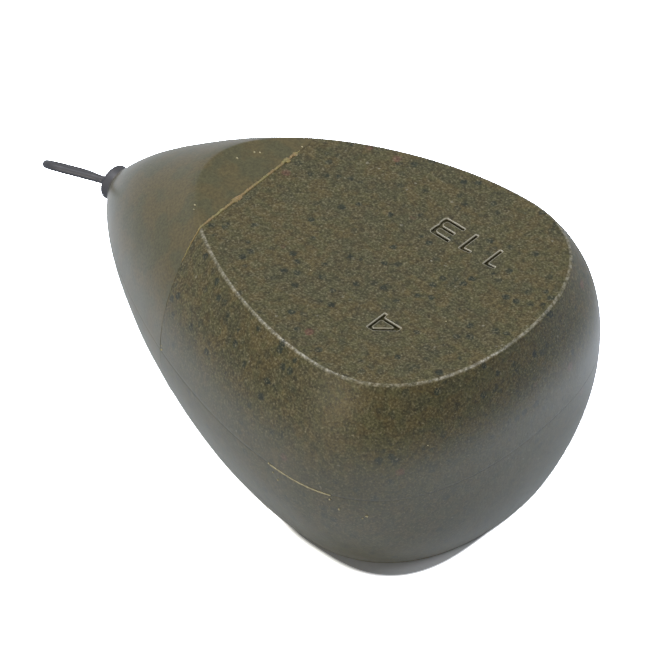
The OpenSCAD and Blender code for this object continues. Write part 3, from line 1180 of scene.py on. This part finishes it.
def grey(value):
    """A colour without a tint."""
    return (value, value, value, 1)


def seen_by(tree, path, names):
    """1 for the kinds of ray in names, and 0 for all others."""
    value = path.outputs[names[0]]
    for name in names[1:]:
        value = math_node(tree, "MAXIMUM", value, path.outputs[name])
    return value


world = bpy.data.worlds.new("surround")
scene.world = world
world.use_nodes = True
surround = world.node_tree
dim = surround.nodes["Background"]
dim.inputs["Color"].default_value = grey(1)
dim.inputs["Strength"].default_value = world_light
white = node(surround, "Background", {"Color": grey(1), "Strength": 1.0})
seen = seen_by(surround, node(surround, "LightPath"),
               ["Is Camera Ray", "Is Glossy Ray", "Is Transmission Ray"])
shown = node(surround, "MixShader", {0: seen, 1: dim.outputs[0], 2: white.outputs[0]})
surround.links.new(shown.outputs[0], surround.nodes["World Output"].inputs["Surface"])
print("World light:", world_light)

# %% [markdown]
# Gloss sees a painted pool of light on the floor behind the tail, which gives that wall its grey
# sheen.
# The floor is exposed brighter for the camera, so of the real shadow only the part close to the body
# stays, and there the floor is also painted darker: a painted shadow. An oval a little wider than
# the
# lower flat bounds it: |u|^2.8 + |v|^2.8 = 1, where u and v are places on the floor, from the oval's
# middle, as shares of its half width and half length.

# %% Lay the floor
floor_half = 3
floor_colour = 0.3
floor_seen = 9
painted_shadow_seen = 0.58
painted_shadow_at = (-1.4 * mm, 3 * mm)
painted_shadow_half = (9.6 * mm, 12.1 * mm)
painted_shadow_from, painted_shadow_to = 0.95, 1.12
oval_power = 2.8
close_tint = (0.95, 1.0, 1.09, 1)
sheen_from, sheen_to = tail_x - 25 * mm, tail_x + 15 * mm
sheen_most, sheen_least = 1.55, 1.05
sheen_tint = (0.92, 1.0, 1.13, 1)

floor_bm = bmesh.new()
bmesh.ops.create_grid(floor_bm, x_segments=1, y_segments=1, size=floor_half)
floor_mesh = bpy.data.meshes.new("floor")
floor_bm.to_mesh(floor_mesh)
floor_bm.free()
floor = bpy.data.objects.new("floor", floor_mesh)
scene.collection.objects.link(floor)
floor_material = bpy.data.materials.new("floor")
floor_material.use_nodes = True
tree = floor_material.node_tree
tree.nodes.remove(tree.nodes["Principled BSDF"])
path = node(tree, "LightPath")
plain = node(tree, "BsdfDiffuse", {"Color": grey(floor_colour)})
on_floor = node(tree, "SeparateXYZ", {0: node(tree, "TexCoord").outputs["Object"]}).outputs
# A painted pool of light: the floor seen in gloss is brighter behind the tail.
sheen = mapped(tree, on_floor["X"], sheen_from, sheen_to, sheen_most, sheen_least, smooth=True)
glossed = node(tree, "BsdfDiffuse", {"Color": shaded(tree, sheen_tint, sheen)})
# Painted shadow: inside the oval the floor seen by the camera is darkened, close to the body.
oval = []
for axis, middle, half in zip("XY", painted_shadow_at, painted_shadow_half):
    share = math_node(tree, "DIVIDE", math_node(tree, "SUBTRACT", on_floor[axis], middle), half)
    oval.append(math_node(tree, "POWER", math_node(tree, "ABSOLUTE", share), oval_power))
seen_as = mapped(tree, math_node(tree, "ADD", *oval), painted_shadow_from, painted_shadow_to, painted_shadow_seen, floor_seen)
bright = node(tree, "BsdfDiffuse", {"Color": shaded(tree, close_tint, seen_as)})
mirrored_too = seen_by(tree, path, ["Is Glossy Ray", "Is Transmission Ray"])
shown = node(tree, "MixShader", {0: mirrored_too, 1: plain.outputs[0], 2: glossed.outputs[0]})
shown = node(tree, "MixShader", {0: path.outputs["Is Camera Ray"], 1: shown.outputs[0],
                                 2: bright.outputs[0]})
tree.links.new(shown.outputs[0], tree.nodes["Material Output"].inputs["Surface"])
floor_mesh.materials.append(floor_material)
print("Shadow oval in mm:", [round(2 * half / mm, 1) for half in painted_shadow_half])

# %% [markdown]
# One soft lamp hangs high beyond the nose, and another high beyond the tail. Each draws its own
# highlight along the rim, and their places come from those two. The third is a low lamp on the
# near side, a little warm, whose highlight lies on the near wall.

# %% Hang the lamps
lamp_aim = Vector((0, 0, 0.01))
lamps = {"nose_lamp": ((0.29, 0.08, 0.52), 1.4, (0.32, 0.32), (1, 1, 1)),
         "tail_lamp": ((-0.25, -0.22, 0.5), 1.15, (0.3, 0.3), (1, 1, 1)),
         "near_lamp": ((0.02, 0.51, 0.12), 1.05, (0.26, 0.2), (1, 0.91, 0.78))}
for name, (place, energy, (wide, high), tint) in lamps.items():
    lamp = bpy.data.objects.new(name, bpy.data.lights.new(name, "AREA"))
    lamp.data.shape = "RECTANGLE"
    lamp.data.size, lamp.data.size_y = wide, high
    lamp.data.energy = energy
    lamp.data.color = tint
    lamp.location = place
    lamp.rotation_mode = "QUATERNION"
    lamp.rotation_quaternion = (lamp.location - lamp_aim).to_track_quat("Z", "Y")
    lamp.visible_camera = False
    scene.collection.objects.link(lamp)
print("Lamps:", sorted(lamps))
